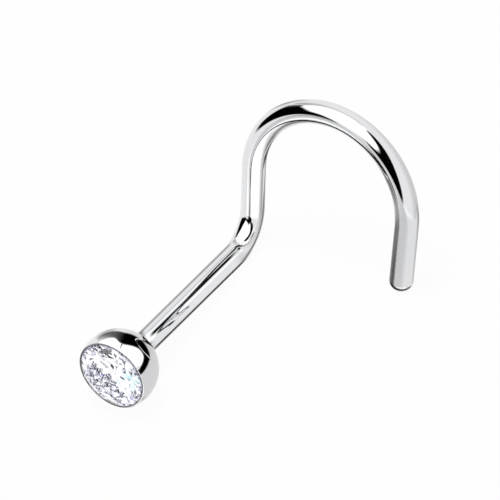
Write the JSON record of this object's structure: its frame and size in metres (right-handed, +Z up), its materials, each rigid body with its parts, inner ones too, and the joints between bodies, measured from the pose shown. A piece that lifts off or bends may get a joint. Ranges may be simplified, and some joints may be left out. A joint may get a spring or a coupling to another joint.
{
  "type": "nose stud",
  "caption": "Nose screw stud: a clear round stone set flush in a small steel ball, on a thin post whose end bends and curls into an open hook that holds it inside the nostril.",
  "frame": {"origin": "on the surface that the stud lies on, under the middle of its box", "axes": "+Z up from the surface; +Y along the post as seen from above, from the stone to the hook, so that the stone faces -Y; +X to the side that the hook curls to"},
  "size_m": [0.0078, 0.0104, 0.0059],
  "materials": {
    "polished_steel": "mirror polished surgical steel",
    "clear_crystal": "faceted and polished cubic zirconia"
  },
  "bodies": {
    "root": {"steel_stud": "polished_steel", "stone": "clear_crystal"}
  },
  "joints": []
}
